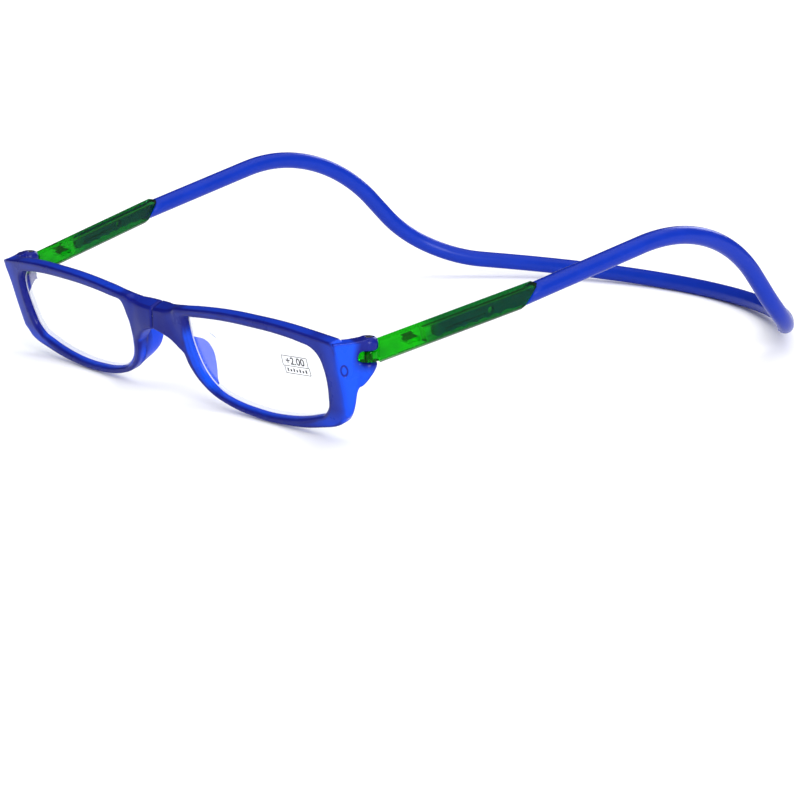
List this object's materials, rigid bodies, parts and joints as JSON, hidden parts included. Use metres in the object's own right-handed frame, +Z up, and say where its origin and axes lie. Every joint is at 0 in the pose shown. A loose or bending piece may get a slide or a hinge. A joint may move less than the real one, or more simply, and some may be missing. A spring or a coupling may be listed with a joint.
{
  "type": "reading glasses",
  "caption": "Reading glasses that part at the nose bridge with magnets, with hinged half fronts and sliding arms on a one-piece band that goes behind the neck",
  "frame": {"origin": "centre of the footprint, on the surface the glasses stand on", "axes": "+X to the wearer's left, +Y towards the back of the head, +Z up; arms retracted and half fronts joined"},
  "size_m": [0.1598, 0.1909, 0.0409],
  "materials": {
    "front_blue": "satin translucent plastic",
    "lens_clear": "clear polished lens",
    "magnet_metal": "plated",
    "screw_metal": "turned",
    "sleeve_green": "clear green plastic",
    "band_blue": "satin translucent plastic"
  },
  "bodies": {
    "band": {"neckband": "band_blue"},
    "arm_left": {"sleeve_left": "sleeve_green"},
    "arm_right": {"sleeve_right": "sleeve_green"},
    "half_left": {"front_left": "front_blue", "lens_left": "lens_clear", "magnet_left": "magnet_metal", "hinge_screw_left": "screw_metal"},
    "half_right": {"front_right": "front_blue", "lens_right": "lens_clear", "magnet_right": "magnet_metal", "hinge_screw_right": "screw_metal"}
  },
  "joints": [
    {"name": "arm_slide_left", "type": "slide", "parent": "band", "child": "arm_left", "axis": [0, -0.9803, -0.1973], "range_m": [0, 0.0102]},
    {"name": "arm_slide_right", "type": "slide", "parent": "band", "child": "arm_right", "axis": [0, -0.9803, -0.1973], "range_m": [0, 0.0102]},
    {"name": "hinge_left", "type": "hinge", "parent": "arm_left", "child": "half_left", "pos_m": [0.0694, -0.08418, 0.022], "axis": [0, 0, 1], "range_deg": [0, 80]},
    {"name": "hinge_right", "type": "hinge", "parent": "arm_right", "child": "half_right", "pos_m": [-0.0694, -0.08418, 0.022], "axis": [0, 0, -1], "range_deg": [0, 80]}
  ]
}
